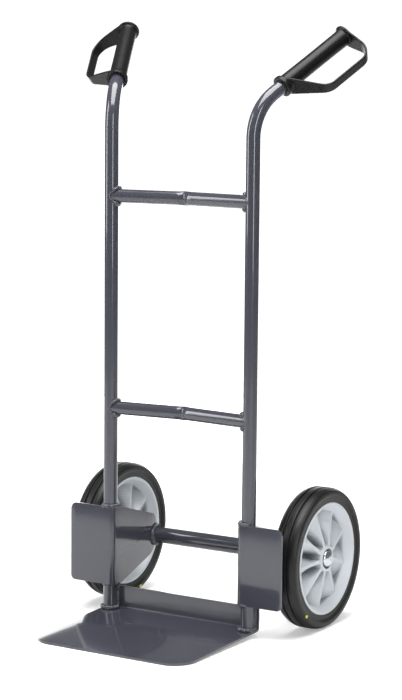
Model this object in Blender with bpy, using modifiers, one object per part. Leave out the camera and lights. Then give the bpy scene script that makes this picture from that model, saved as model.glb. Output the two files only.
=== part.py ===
"""Steel-tube hand truck with two solid-rubber wheels, a bent toe plate and two guarded handles.

The truck stands on the front edge of its toe plate and on its wheels.
Metres, +Z up, load side facing -Y, left and right as seen from the load side (-X and +X).
"""

import math

import bmesh
import bpy
from mathutils import Matrix, Vector

# Gap left between pieces that touch.
GAP = 0.0003

# Frame tubes.
TUBE_R = 0.0125
TUBE_WALL = 0.0015
TUBE_SIDES = 24
UPRIGHT_X = 0.1435
RUNG_HEIGHTS = {"rung_lower": 0.377, "rung_upper": 0.753}
RUNG_R = 0.012
RUNG_BOW = 0.017
RUNG_KINK = 0.012
RUNG_KINK_EASE = 0.65

# The upper bend of the uprights, and the straight run that carries the handle.
# The left bend (-1) starts a little higher than the right one (1).
BEND_R = 0.0915
BEND_START = {-1: 0.8671, 1: 0.8597}
BEND_ANGLE = math.radians(56.5)
SPLAY = math.radians(25.0)
BEND_STEPS = 10
COLLAR_RUN = 0.018
TUBE_IN_GRIP = 0.120

# Wheels and axle.
WHEEL_R = 0.125
WHEEL_X = 0.208
WHEEL_STEPS = 48
TYRE_WIDTH = 0.047
SHOULDER_WIDTH = 0.009
SHOULDER_FALL = 0.0063
SHOULDER_STEPS = 4
TREAD_GROOVE_AT = 0.0072
TREAD_GROOVE_HALF = 0.0016
TREAD_GROOVE_FLOOR = 0.0009
TREAD_GROOVE_DEPTH = 0.0025
SIDEWALL_R = 0.1115
BEAD_RECESS = 0.0025
AXLE_BACK = 0.129
SHAFT_R = 0.010
SHAFT_END = 0.2295
SHAFT_CHAMFER = 0.001
AXLE_TUBE_R = 0.015
AXLE_TUBE_WALL = 0.0025
AXLE_TUBE_END = 0.184
HUB_R = 0.0235
HUB_HALF = 0.021
HUB_RECESS_R = 0.0175
HUB_RECESS = 0.0075
BUSH_R = 0.0145
WASHER_R = 0.016
WASHER = 0.0015
CAP_R = 0.0148
CAP_TOP = 0.2355
CAP_EDGE = 0.002
CAP_STEPS = 6
RIM_R = 0.0993
RIM_LIP_R = 0.0945
RIM_WELL_R = 0.084
RIM_EDGE = 0.0008
RIM_WIDTH = 0.042
RIM_WELL = 0.010
RIDGES = 9
RIDGE_START = math.radians(155)
RIDGE_HALF = 0.0014
RIDGE_FLARE = 0.0025
RIDGE_SKEW = 0.001
WEB_THICK = 0.003
WEB_AT_HUB = 0.0155
WEB_AT_WELL = 0.0075
WEB_FLARE_R = 0.045
SMALL_STEPS = 28
CUT_STEPS = 56

# Toe plate.
TOE_REACH = 0.2315
TOE_HALF = 0.157
TOE_THICK = 0.004
TOE_RISE = 0.0082
TOE_CORNER = 0.042
TOE_BEND = 0.003
TOE_BEND_STEPS = 8
TOE_CORNER_STEPS = 10
FLANGE_TOP = 0.0515

# Side plates.
PLATE_THICK = 0.003
PLATE_TOP = 0.200
PLATE_BOTTOM = 0.058
PLATE_OUTER = 0.2185
PLATE_BEND = 0.006
PLATE_CORNER = 0.012
WING_REACH = 0.125
WING_DROP = 0.036
WING_CHAMFER_START = 0.012
WING_CHAMFER_RISE = 0.040
WING_CORNER_TOP = 0.010
WING_CORNER_LOW = 0.022
PLATE_STEPS = 8

# Handles.
GRIP_R = 0.0155
GRIP_BORE = TUBE_R + GAP
GRIP_LENGTH = 0.160
COLLAR_R = 0.0190
COLLAR_LENGTH = 0.008
END_DISC = 0.004
END_DISC_R = 0.0200
GRIP_ROUND = 0.0012
GRIP_WAIST = 0.0005
GRIP_FLARE = 0.004
GRIP_STEPS = 40
STRAP_THICK = 0.004
STRAP_CHAMFER = 0.0012
STRAP_STEPS = 10
STRAP_BAR = 0.069
STRAP_BAR_HALF = 0.009
STRAP_TILT = math.radians(14)
STRAP_LOW = 0.006
STRAP_LOW_CORNER = 0.047
STRAP_LOW_R = 0.024
STRAP_TOP_CORNER = 0.155
STRAP_TOP_R = 0.029
STRAP_TOP = 0.1575

# The whole truck is centred front to back on Y = 0.
UP = Vector((0, 0, 1))
TUBE_Y = (TOE_REACH - AXLE_BACK - WHEEL_R) / 2
AXLE_Y = TUBE_Y + AXLE_BACK
AXLE_Z = WHEEL_R
SIDES = {"left": -1, "right": 1}


def clear_scene():
    for item in list(bpy.data.objects):
        bpy.data.objects.remove(item, do_unlink=True)


def make_collection(name):
    group = bpy.data.collections.new(name)
    bpy.context.scene.collection.children.link(group)
    return group


def make_material(name, colour, roughness, metallic=0.0):
    paint = bpy.data.materials.new(name)
    paint.use_nodes = True
    shader = paint.node_tree.nodes["Principled BSDF"]
    shader.inputs["Base Color"].default_value = (*colour, 1.0)
    shader.inputs["Roughness"].default_value = roughness
    shader.inputs["Metallic"].default_value = metallic
    paint.diffuse_color = (*colour, 1.0)
    return paint


def add_object(name, mesh, paint, group, smooth=True):
    item = bpy.data.objects.new(name, mesh)
    group.objects.link(item)
    if paint:
        mesh.materials.append(paint)
    for face in mesh.polygons:
        face.use_smooth = smooth
    return item


def mesh_from(name, points, faces):
    mesh = bpy.data.meshes.new(name)
    mesh.from_pydata([tuple(point) for point in points], [], faces)
    mesh.update()
    return mesh


def add_cutter(name, mesh, group):
    item = add_object(name, mesh, None, group)
    item.display_type = "WIRE"
    item.hide_render = True
    return item


def boolean(item, operand, operation):
    step = item.modifiers.new(operand.name, "BOOLEAN")
    step.operation = operation
    step.solver = "EXACT"
    step.object = operand
    return step


def tube_mesh(name, path, radius, sides=TUBE_SIDES, capped=False):
    """Sweep a circle along a path and return it as a mesh."""
    curve = bpy.data.curves.new(name, "CURVE")
    curve.dimensions = "3D"
    curve.bevel_depth = radius
    curve.bevel_resolution = sides // 2 - 2
    curve.use_fill_caps = capped
    line = curve.splines.new("POLY")
    line.points.add(len(path) - 1)
    for point, place in zip(line.points, path):
        point.co = (*place, 1.0)
    holder = bpy.data.objects.new(name, curve)
    bpy.context.scene.collection.objects.link(holder)
    graph = bpy.context.evaluated_depsgraph_get()
    mesh = bpy.data.meshes.new_from_object(holder.evaluated_get(graph))
    bpy.data.objects.remove(holder, do_unlink=True)
    bpy.data.curves.remove(curve)
    shape = bmesh.new()
    shape.from_mesh(mesh)
    bmesh.ops.remove_doubles(shape, verts=shape.verts, dist=1e-6)
    bmesh.ops.recalc_face_normals(shape, faces=shape.faces)
    shape.to_mesh(mesh)
    shape.free()
    return mesh


def hollow_tube(name, path, radius, wall, paint, group):
    item = add_object(name, tube_mesh(name, path, radius), paint, group)
    step = item.modifiers.new("wall", "SOLIDIFY")
    step.thickness = wall
    step.offset = -1
    return item


def turned(name, profile, paint, group, steps=WHEEL_STEPS, closed=False):
    """Turn a (radius, height) profile about Z."""
    mesh = bpy.data.meshes.new(name)
    count = len(profile)
    edges = [(i, i + 1) for i in range(count - 1)]
    if closed:
        edges.append((count - 1, 0))
    mesh.from_pydata([(radius, 0.0, height) for radius, height in profile], edges, [])
    item = add_object(name, mesh, paint, group)
    step = item.modifiers.new("turn", "SCREW")
    step.axis = "Z"
    step.angle = math.tau
    step.steps = steps
    step.render_steps = steps
    step.use_merge_vertices = True
    step.merge_threshold = 0.00005
    step.use_smooth_shade = True
    return item


def ring_profile(inner, outer, low, high):
    """A closed ring section, run down its outer side."""
    return [(inner, high), (outer, high), (outer, low), (inner, low)]


def cylinder_mesh(name, radius, low, high, sides=CUT_STEPS):
    shape = bmesh.new()
    bmesh.ops.create_cone(
        shape,
        cap_ends=True,
        segments=sides,
        radius1=radius,
        radius2=radius,
        depth=high - low,
        matrix=Matrix.Translation((0, 0, (low + high) / 2)),
    )
    mesh = bpy.data.meshes.new(name)
    shape.to_mesh(mesh)
    shape.free()
    return mesh


def rest_on_axle(item, side):
    """Turn a piece made about Z so that its +Z points outward along the axle."""
    item.location = (0, AXLE_Y, AXLE_Z)
    item.rotation_euler = (0, side * math.pi / 2, 0)


def lean(side):
    """Level direction in which the top of an upright is bent."""
    return Vector((side * math.sin(SPLAY), math.cos(SPLAY), 0))


def grip_direction(side):
    return math.sin(BEND_ANGLE) * lean(side) + math.cos(BEND_ANGLE) * UP


def bend_point(side, turn):
    """Centre of the tube where its bend has turned it by this angle."""
    start = Vector((side * UPRIGHT_X, TUBE_Y, BEND_START[side]))
    return start + BEND_R * ((1 - math.cos(turn)) * lean(side) + math.sin(turn) * UP)


def upright_path(side):
    path = [Vector((side * UPRIGHT_X, TUBE_Y, foot_height()))]
    for i in range(BEND_STEPS + 1):
        path.append(bend_point(side, BEND_ANGLE * i / BEND_STEPS))
    path.append(path[-1] + (COLLAR_RUN + TUBE_IN_GRIP) * grip_direction(side))
    return path


def foot_height():
    """Height at which the uprights end, just clear of the bend of the toe plate."""
    plate_top = TOE_RISE + TOE_THICK + toe_slope() * TUBE_R
    return plate_top + TOE_BEND - math.sqrt(TOE_BEND**2 - (TOE_BEND - GAP) ** 2) + GAP


def toe_slope():
    return TOE_RISE / TOE_REACH


def make_upright(side_name, paint, group):
    side = SIDES[side_name]
    return hollow_tube(f"upright_{side_name}", upright_path(side), TUBE_R, TUBE_WALL, paint, group)


def make_rung(name, height, cutters, paint, group):
    half = UPRIGHT_X
    bow = RUNG_BOW
    slope = bow / half
    path = [
        Vector((-half, TUBE_Y, height)),
        Vector((-RUNG_KINK, TUBE_Y + bow - slope * RUNG_KINK, height)),
        Vector((-RUNG_KINK / 2, TUBE_Y + bow - slope * RUNG_KINK * RUNG_KINK_EASE, height)),
        Vector((RUNG_KINK / 2, TUBE_Y + bow - slope * RUNG_KINK * RUNG_KINK_EASE, height)),
        Vector((RUNG_KINK, TUBE_Y + bow - slope * RUNG_KINK, height)),
        Vector((half, TUBE_Y, height)),
    ]
    item = hollow_tube(name, path, RUNG_R, TUBE_WALL, paint, group)
    for cutter in cutters:
        boolean(item, cutter, "DIFFERENCE")
    return item


def upright_cutter(side_name, group):
    """The space taken by an upright, which the rung ends are coped to."""
    low = min(RUNG_HEIGHTS.values()) - 3 * RUNG_R
    high = max(RUNG_HEIGHTS.values()) + 3 * RUNG_R
    mesh = cylinder_mesh(f"cope_{side_name}", TUBE_R + GAP, low, high)
    item = add_cutter(f"cope_{side_name}", mesh, group)
    item.location = (SIDES[side_name] * UPRIGHT_X, TUBE_Y, 0)
    return item


def sheet_mesh(name, columns):
    """A sheet from equal-length columns of points."""
    rows = len(columns[0])
    points = [point for column in columns for point in column]
    faces = []
    for i in range(len(columns) - 1):
        for j in range(rows - 1):
            a = i * rows + j
            b = (i + 1) * rows + j
            faces.append((a, b, b + 1, a + 1))
    return mesh_from(name, points, faces)


def rounded_limit(distance, radius):
    """How far a rounded corner pulls an edge back, at a distance from the sheet's end."""
    if distance >= radius:
        return 0.0
    return radius - math.sqrt(max(radius**2 - (radius - distance) ** 2, 0.0))


def make_toe_plate(paint, group):
    slope = math.atan(toe_slope())
    bend_r = TOE_BEND + TOE_THICK
    back = TUBE_Y + TUBE_R + GAP + TOE_THICK
    front = TUBE_Y - TOE_REACH
    turns = [math.pi / 2 * i / TOE_CORNER_STEPS for i in range(TOE_CORNER_STEPS + 1)]
    ends = [TOE_CORNER * (1 - math.cos(turn)) for turn in turns]
    xs = [-TOE_HALF + end for end in ends] + [TOE_HALF - end for end in reversed(ends)]
    columns = []
    for x in xs:
        pull = rounded_limit(TOE_HALF - abs(x), TOE_CORNER)
        column = [Vector((x, front + pull, pull * math.tan(slope)))]
        sweep = math.pi / 2 - slope
        base_z = (back - bend_r - front) * math.tan(slope) + bend_r / math.cos(slope)
        for i in range(TOE_BEND_STEPS + 1):
            turn = slope + sweep * i / TOE_BEND_STEPS
            y = back - bend_r + bend_r * math.sin(turn)
            z = base_z - bend_r * math.cos(turn)
            column.append(Vector((x, y, z)))
        column.append(Vector((x, back, FLANGE_TOP)))
        columns.append(column)
    item = add_object("toe_plate", sheet_mesh("toe_plate", columns), paint, group)
    wall = item.modifiers.new("thickness", "SOLIDIFY")
    wall.thickness = TOE_THICK
    wall.offset = 1
    wall.use_even_offset = True
    return item


def wing_top(y):
    """Top edge of the rear wing, falling toward the axle and rounded at the rear corner."""
    fall = WING_DROP * max(y, 0.0) / WING_REACH
    return PLATE_TOP - fall - rounded_limit(WING_REACH - y, WING_CORNER_TOP)


def wing_bottom(y):
    run = WING_REACH - WING_CHAMFER_START
    rise = WING_CHAMFER_RISE * max(y - WING_CHAMFER_START, 0.0) / run
    return PLATE_BOTTOM + rise + rounded_limit(WING_REACH - y, WING_CORNER_LOW)


def plate_columns(side):
    """Columns of the bent side plate, from the outer edge of the front wing to the rear edge."""
    inner = UPRIGHT_X - TUBE_R - GAP - PLATE_THICK
    front = -(TUBE_R + GAP + PLATE_THICK)
    outer_r = PLATE_BEND + PLATE_THICK
    columns = []
    for i in range(PLATE_STEPS + 1):
        offset = PLATE_CORNER * (1 - math.cos(math.pi / 2 * i / PLATE_STEPS))
        pull = rounded_limit(offset, PLATE_CORNER)
        columns.append((PLATE_OUTER - offset, front, PLATE_BOTTOM + pull, PLATE_TOP - pull))
    for i in range(PLATE_STEPS + 1):
        turn = math.pi / 2 * i / PLATE_STEPS
        x = inner + outer_r - outer_r * math.sin(turn)
        y = front + outer_r - outer_r * math.cos(turn)
        columns.append((x, y, PLATE_BOTTOM, PLATE_TOP))
    for y in (0.0, WING_CHAMFER_START, WING_REACH - WING_CORNER_LOW):
        columns.append((inner, y, wing_bottom(y), wing_top(y)))
    for i in range(1, PLATE_STEPS + 1):
        turn = math.pi / 2 * i / PLATE_STEPS
        y = WING_REACH - WING_CORNER_LOW * (1 - math.sin(turn))
        columns.append((inner, y, wing_bottom(y), wing_top(y)))
    return [
        [Vector((side * x, TUBE_Y + y, low)), Vector((side * x, TUBE_Y + y, high))]
        for x, y, low, high in columns
    ]


def make_side_plate(side_name, notch, paint, group):
    side = SIDES[side_name]
    name = f"side_plate_{side_name}"
    item = add_object(name, sheet_mesh(name, plate_columns(side)), paint, group, smooth=False)
    wall = item.modifiers.new("thickness", "SOLIDIFY")
    wall.thickness = PLATE_THICK
    wall.offset = side
    wall.use_even_offset = True
    boolean(item, notch, "DIFFERENCE")
    return item


def axle_notch(group):
    """The space taken by the axle tube, notched into the rear edge of both plates."""
    mesh = cylinder_mesh("axle_notch", AXLE_TUBE_R + GAP, -PLATE_OUTER, PLATE_OUTER)
    item = add_cutter("axle_notch", mesh, group)
    rest_on_axle(item, 1)
    return item


def make_axle(paint_tube, paint_shaft, group):
    path = [Vector((-AXLE_TUBE_END, AXLE_Y, AXLE_Z)), Vector((AXLE_TUBE_END, AXLE_Y, AXLE_Z))]
    tube = hollow_tube("axle_tube", path, AXLE_TUBE_R, AXLE_TUBE_WALL, paint_tube, group)
    profile = [
        (0.0, SHAFT_END),
        (SHAFT_R - SHAFT_CHAMFER, SHAFT_END),
        (SHAFT_R, SHAFT_END - SHAFT_CHAMFER),
        (SHAFT_R, SHAFT_CHAMFER - SHAFT_END),
        (SHAFT_R - SHAFT_CHAMFER, -SHAFT_END),
        (0.0, -SHAFT_END),
    ]
    shaft = turned("axle_shaft", profile, paint_shaft, group, steps=GRIP_STEPS)
    rest_on_axle(shaft, 1)
    return tube, shaft


def tyre_profile():
    """Tyre section: a flat sidewall, a rounded shoulder and a tread with two grooves."""
    half = TYRE_WIDTH / 2
    seat = RIM_R + GAP
    flank = [(seat, half - BEAD_RECESS), (SIDEWALL_R - BEAD_RECESS, half - BEAD_RECESS), (SIDEWALL_R, half)]
    for i in range(SHOULDER_STEPS + 1):
        turn = math.pi / 2 * i / SHOULDER_STEPS
        radius = WHEEL_R - SHOULDER_FALL * (1 - math.sin(turn))
        flank.append((radius, half - SHOULDER_WIDTH * (1 - math.cos(turn))))
    floor = WHEEL_R - TREAD_GROOVE_DEPTH
    grooves = []
    for centre in (TREAD_GROOVE_AT, -TREAD_GROOVE_AT):
        grooves += [
            (WHEEL_R, centre + TREAD_GROOVE_HALF),
            (floor, centre + TREAD_GROOVE_FLOOR),
            (floor, centre - TREAD_GROOVE_FLOOR),
            (WHEEL_R, centre - TREAD_GROOVE_HALF),
        ]
    return flank + grooves + [(radius, -height) for radius, height in reversed(flank)]


def make_tyre(side_name, paint, group):
    item = turned(f"tyre_{side_name}", tyre_profile(), paint, group, closed=True)
    rest_on_axle(item, SIDES[side_name])
    item.location.x = SIDES[side_name] * WHEEL_X
    return item


def web_layer(radius, face):
    """One ring of points on the front (face 1) or back (face -1) of the wheel's web."""
    share = min(max((radius - HUB_R) / (RIM_WELL_R - HUB_R), 0.0), 1.0)
    height = WEB_AT_HUB + (WEB_AT_WELL - WEB_AT_HUB) * share
    flare = (RIDGE_FLARE - RIDGE_HALF) * max(1 - 2 * share, 0.0) ** 2
    points = []
    for i in range(2 * RIDGES):
        middle = RIDGE_START + math.pi * i / RIDGES
        lift = 1 if i % 2 == 0 else -1
        half = RIDGE_HALF + flare + lift * face * RIDGE_SKEW
        for way in (-1, 1):
            turn = middle + way * half / radius
            level = lift * height + face * WEB_THICK / 2
            points.append((radius * math.cos(turn), radius * math.sin(turn), level))
    return points


def web_mesh(name):
    """The wheel's web: ridges that rise to the front and to the back in turn, joined by sloping walls."""
    inner = (HUB_R + HUB_RECESS_R) / 2
    outer = (RIM_WELL_R + RIM_R) / 2
    rings = [inner, HUB_R, WEB_FLARE_R, RIM_WELL_R, outer]
    across = RIDGES * 4
    points = []
    for face in (1, -1):
        for radius in rings:
            points += web_layer(radius, face)
    layer = len(rings) * across
    last = layer - across
    faces = []
    for i in range(across):
        j = (i + 1) % across
        for a in range(0, last, across):
            b = a + across
            faces.append((a + i, b + i, b + j, a + j))
            faces.append((layer + a + i, layer + a + j, layer + b + j, layer + b + i))
        faces.append((i, j, layer + j, layer + i))
        faces.append((last + i, layer + last + i, layer + last + j, last + j))
    return mesh_from(name, points, faces)


def barrel_profile():
    """The wheel's barrel: flat lips at both faces and a cone falling inward to the web."""
    half = RIM_WIDTH / 2
    upper = [
        (RIM_WELL_R, RIM_WELL / 2),
        (RIM_LIP_R, half - RIM_EDGE),
        (RIM_LIP_R + RIM_EDGE, half),
        (RIM_R - RIM_EDGE, half),
        (RIM_R, half - RIM_EDGE),
    ]
    return upper + [(radius, -height) for radius, height in reversed(upper)]


def hub_profile():
    """The wheel's hub: a bored boss with a recess for the washer and cap at its outer end."""
    return [
        (HUB_RECESS_R, HUB_HALF),
        (HUB_R, HUB_HALF),
        (HUB_R, -HUB_HALF),
        (BUSH_R + GAP, -HUB_HALF),
        (BUSH_R + GAP, HUB_HALF - HUB_RECESS),
        (HUB_RECESS_R, HUB_HALF - HUB_RECESS),
    ]


def make_rim(side_name, paint, group, cutters):
    name = f"rim_{side_name}"
    item = turned(name, barrel_profile(), paint, group, closed=True)
    hub = turned(f"{name}_hub", hub_profile(), None, cutters, GRIP_STEPS, True)
    web = add_cutter(f"{name}_web", web_mesh(f"{name}_web"), cutters)
    for helper in (hub, web):
        helper.display_type = "WIRE"
        helper.hide_render = True
    for piece in (item, hub, web):
        rest_on_axle(piece, SIDES[side_name])
        piece.location.x = SIDES[side_name] * WHEEL_X
    boolean(item, web, "UNION")
    boolean(item, hub, "UNION")
    return item


def make_bush(side_name, paint, group):
    profile = ring_profile(SHAFT_R + GAP, BUSH_R, -HUB_HALF, HUB_HALF - HUB_RECESS)
    item = turned(f"bush_{side_name}", profile, paint, group, SMALL_STEPS, True)
    rest_on_axle(item, SIDES[side_name])
    item.location.x = SIDES[side_name] * WHEEL_X
    return item


def make_washer(name, side, inner_face, thickness, paint, group):
    profile = ring_profile(SHAFT_R + GAP, WASHER_R, inner_face, inner_face + thickness)
    item = turned(name, profile, paint, group, SMALL_STEPS, True)
    rest_on_axle(item, side)
    return item


def make_cap(side_name, inner_face, paint, group):
    """Push-on cap: a domed cup pressed over the end of the shaft."""
    base = SHAFT_END - CAP_EDGE
    rise = CAP_TOP - base
    profile = [(0.0, CAP_TOP)]
    for i in range(1, CAP_STEPS + 1):
        turn = math.pi / 2 * i / CAP_STEPS
        profile.append((CAP_R * math.sin(turn), base + rise * math.cos(turn)))
    profile += [
        (CAP_R, inner_face),
        (SHAFT_R + GAP, inner_face),
        (SHAFT_R + GAP, SHAFT_END + GAP),
        (0.0, SHAFT_END + GAP),
    ]
    item = turned(f"cap_{side_name}", profile, paint, group, SMALL_STEPS)
    rest_on_axle(item, SIDES[side_name])
    return item


def strap_path():
    """Centre line of the guard strap: (along the grip, away from the grip)."""
    corners = [
        Vector((STRAP_LOW, 0.0)),
        Vector((STRAP_LOW_CORNER, STRAP_BAR)),
        Vector((STRAP_TOP_CORNER, STRAP_BAR)),
        Vector((STRAP_TOP, 0.0)),
    ]
    path = [corners[0]]
    for i, radius in ((1, STRAP_LOW_R), (2, STRAP_TOP_R)):
        before = (corners[i - 1] - corners[i]).normalized()
        after = (corners[i + 1] - corners[i]).normalized()
        half_angle = before.angle(after) / 2
        middle = corners[i] + (before + after).normalized() * radius / math.sin(half_angle)
        start = corners[i] + before * radius / math.tan(half_angle) - middle
        sweep = math.pi - 2 * half_angle
        for j in range(STRAP_STEPS + 1):
            path.append(middle + Matrix.Rotation(-sweep * j / STRAP_STEPS, 2) @ start)
    path.append(corners[3])
    return path


def strap_section(half):
    """Section of the strap with chamfered edges: (through its thickness, across it)."""
    skin = STRAP_THICK / 2
    quarter = [(skin, half - STRAP_CHAMFER), (skin - STRAP_CHAMFER, half)]
    upper = quarter + [(-off, height) for off, height in reversed(quarter)]
    return upper + [(off, -height) for off, height in reversed(upper)]


def strap_mesh(name):
    """The guard strap, in grip axes: X along the grip, Y away from it, Z across the strap."""
    path = strap_path()
    count = len(path)
    points = []
    for i, place in enumerate(path):
        ahead = (path[min(i + 1, count - 1)] - path[max(i - 1, 0)]).normalized()
        aside = Vector((-ahead.y, ahead.x))
        share = min(max(place.y / STRAP_BAR, 0.0), 1.0)
        half = COLLAR_R + (STRAP_BAR_HALF - COLLAR_R) * share
        for off, height in strap_section(half):
            flat = place + aside * off
            points.append(Vector((flat.x, flat.y, height)))
    sides = len(points) // count
    last = len(points) - sides
    faces = [tuple(range(sides)), tuple(reversed(range(last, last + sides)))]
    for a in range(0, last, sides):
        for j in range(sides):
            k = (j + 1) % sides
            faces.append((a + k, a + j, a + sides + j, a + sides + k))
    return mesh_from(name, points, faces)


def grip_matrix(side):
    """Grip axes in the world: X along the grip, Y toward the strap, Z across it."""
    along = grip_direction(side)
    outward = Vector((side, 0, 0))
    outward = (outward - along * outward.dot(along)).normalized()
    outward = Matrix.Rotation(side * STRAP_TILT, 3, along) @ outward
    across = along.cross(outward)
    place = bend_point(side, BEND_ANGLE) + along * COLLAR_RUN
    turn = Matrix((along, outward, across)).transposed().to_4x4()
    return Matrix.Translation(place) @ turn


def grip_profile():
    """Grip section, from the end disc down over the waist to the collar."""
    disc_low = GRIP_LENGTH - END_DISC
    waist = GRIP_R - GRIP_WAIST
    return [
        (0.0, GRIP_LENGTH),
        (END_DISC_R - GRIP_ROUND, GRIP_LENGTH),
        (END_DISC_R, GRIP_LENGTH - GRIP_ROUND),
        (END_DISC_R, disc_low),
        (GRIP_R, disc_low - GRIP_FLARE / 2),
        (waist, GRIP_LENGTH * 2 / 3),
        (waist, GRIP_LENGTH / 3),
        (GRIP_R, COLLAR_LENGTH + GRIP_FLARE),
        (COLLAR_R, COLLAR_LENGTH),
        (COLLAR_R, GRIP_ROUND),
        (COLLAR_R - GRIP_ROUND, 0.0),
        (0.0, 0.0),
    ]


def make_handle(side_name, paint, group, cutters):
    side = SIDES[side_name]
    name = f"handle_{side_name}"
    place = grip_matrix(side)
    item = add_object(name, strap_mesh(name), paint, group)
    item.matrix_world = place
    grip = turned(f"{name}_grip", grip_profile(), None, cutters, GRIP_STEPS)
    bore_mesh = cylinder_mesh(f"{name}_bore", GRIP_BORE, -COLLAR_RUN / 2, TUBE_IN_GRIP + GAP, GRIP_STEPS)
    bore = add_cutter(f"{name}_bore", bore_mesh, cutters)
    for helper in (grip, bore):
        helper.display_type = "WIRE"
        helper.hide_render = True
        helper.matrix_world = place @ Matrix.Rotation(math.pi / 2, 4, "Y")
    boolean(item, grip, "UNION")
    boolean(item, bore, "DIFFERENCE")
    return item


def add_wheel_parent(side_name, pieces, group):
    """An empty on the axle that the wheel's pieces turn with."""
    pivot = bpy.data.objects.new(f"wheel_{side_name}_pivot", None)
    pivot.location = (SIDES[side_name] * WHEEL_X, AXLE_Y, AXLE_Z)
    group.objects.link(pivot)
    bpy.context.view_layer.update()
    for piece in pieces:
        world = piece.matrix_world.copy()
        piece.parent = pivot
        piece.matrix_world = world


def main():
    clear_scene()
    group = make_collection("hand_truck")
    cutters = make_collection("cutters")
    steel = make_material("grey_paint", (0.092, 0.094, 0.117), 0.3)
    plastic = make_material("black_plastic", (0.012, 0.012, 0.013), 0.5)
    rubber = make_material("tyre_rubber", (0.011, 0.011, 0.012), 0.6)
    rim_grey = make_material("grey_plastic", (0.52, 0.55, 0.57), 0.45)
    zinc = make_material("zinc", (0.55, 0.56, 0.57), 0.3, 1.0)
    bright = make_material("bright_steel", (0.60, 0.60, 0.60), 0.25, 1.0)

    copes = [upright_cutter(side, cutters) for side in SIDES]
    notch = axle_notch(cutters)
    for side in SIDES:
        make_upright(side, steel, group)
        make_side_plate(side, notch, steel, group)
        make_handle(side, plastic, group, cutters)
    for name, height in RUNG_HEIGHTS.items():
        make_rung(name, height, copes, steel, group)
    make_toe_plate(steel, group)
    make_axle(steel, bright, group)
    hub_in = WHEEL_X - HUB_HALF
    seat_out = WHEEL_X + HUB_HALF - HUB_RECESS
    spacer = hub_in - AXLE_TUBE_END - 2 * GAP
    for side_name, side in SIDES.items():
        pieces = [
            make_tyre(side_name, rubber, group),
            make_rim(side_name, rim_grey, group, cutters),
            make_bush(side_name, plastic, group),
        ]
        add_wheel_parent(side_name, pieces, group)
        make_washer(f"inner_washer_{side_name}", side, AXLE_TUBE_END + GAP, spacer, zinc, group)
        make_washer(f"outer_washer_{side_name}", side, seat_out + GAP, WASHER, zinc, group)
        make_cap(side_name, seat_out + 2 * GAP + WASHER, zinc, group)


main()
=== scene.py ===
"""Looks of a steel-tube hand truck: painted frame, moulded handles, rubber tyres on grey plastic wheels."""
import math

import bmesh
import bpy
from mathutils import Matrix, Vector, noise


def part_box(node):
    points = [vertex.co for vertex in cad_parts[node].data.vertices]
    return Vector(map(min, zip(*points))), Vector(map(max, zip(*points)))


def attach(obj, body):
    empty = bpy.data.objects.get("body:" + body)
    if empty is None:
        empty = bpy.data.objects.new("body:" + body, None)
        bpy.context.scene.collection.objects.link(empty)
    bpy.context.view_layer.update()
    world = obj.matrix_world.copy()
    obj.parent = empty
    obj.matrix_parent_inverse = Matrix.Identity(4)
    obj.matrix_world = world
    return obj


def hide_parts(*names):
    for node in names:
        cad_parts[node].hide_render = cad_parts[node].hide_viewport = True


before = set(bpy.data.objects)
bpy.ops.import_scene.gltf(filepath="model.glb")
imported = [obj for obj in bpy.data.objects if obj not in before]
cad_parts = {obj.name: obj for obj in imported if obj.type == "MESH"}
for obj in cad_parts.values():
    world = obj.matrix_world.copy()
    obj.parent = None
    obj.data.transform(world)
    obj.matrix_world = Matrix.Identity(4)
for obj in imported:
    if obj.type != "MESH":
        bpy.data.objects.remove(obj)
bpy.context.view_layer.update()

# ---- Studio: a pale floor under soft boxes, seen from the load side, a little to the right.
# The floor is matt board and the room plain white. A bright card behind gives the paint its shine.
CAMERA_TURN = math.radians(31.72)
CAMERA_DIP = math.radians(7.67)
CAMERA_ROLL = math.radians(0.5)
CAMERA_AWAY = 3.819
CAMERA_LENS = 113.75
CAMERA_TARGET = Vector((0.0437, -0.01125, 0.4941))
ROOM_LIGHT = 0.20
ROOM_SEEN = 1.1
BOARD = (0.93, 0.93, 0.93, 1.0)
FLOOR_GLOW = 0.30
FLOOR_FADE = 2.2


def make_camera():
    flat = math.cos(CAMERA_DIP)
    ahead = Vector((-math.sin(CAMERA_TURN) * flat, math.cos(CAMERA_TURN) * flat, -math.sin(CAMERA_DIP)))
    right = Vector((math.cos(CAMERA_TURN), math.sin(CAMERA_TURN), 0))
    roll = Matrix.Rotation(-CAMERA_ROLL, 3, ahead)
    right = roll @ right
    up = right.cross(ahead)
    lens = bpy.data.cameras.new("camera")
    lens.lens = CAMERA_LENS
    lens.sensor_width = 36
    lens.clip_end = 50
    camera = bpy.data.objects.new("camera", lens)
    turn = Matrix((right, up, -ahead)).transposed().to_4x4()
    camera.matrix_world = Matrix.Translation(CAMERA_TARGET - ahead * CAMERA_AWAY) @ turn
    bpy.context.scene.collection.objects.link(camera)
    bpy.context.scene.camera = camera


def soft_box(name, place, aim, width, height, power):
    lamp = bpy.data.lights.new(name, "AREA")
    lamp.shape = "RECTANGLE"
    lamp.size = width
    lamp.size_y = height
    lamp.energy = power
    holder = bpy.data.objects.new(name, lamp)
    holder.location = place
    holder.rotation_mode = "QUATERNION"
    holder.rotation_quaternion = (Vector(aim) - Vector(place)).to_track_quat("-Z", "Y")
    holder.visible_camera = False
    bpy.context.scene.collection.objects.link(holder)


def make_room():
    room = bpy.data.worlds.new("room")
    bpy.context.scene.world = room
    room.use_nodes = True
    nodes, links = room.node_tree.nodes, room.node_tree.links
    nodes["Background"].inputs["Color"].default_value = (1, 1, 1, 1)
    seen = nodes.new("ShaderNodeLightPath")
    level = nodes.new("ShaderNodeMapRange")
    level.inputs["To Min"].default_value = ROOM_LIGHT
    level.inputs["To Max"].default_value = ROOM_SEEN
    links.new(seen.outputs["Is Camera Ray"], level.inputs["Value"])
    links.new(level.outputs["Result"], nodes["Background"].inputs["Strength"])


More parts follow.
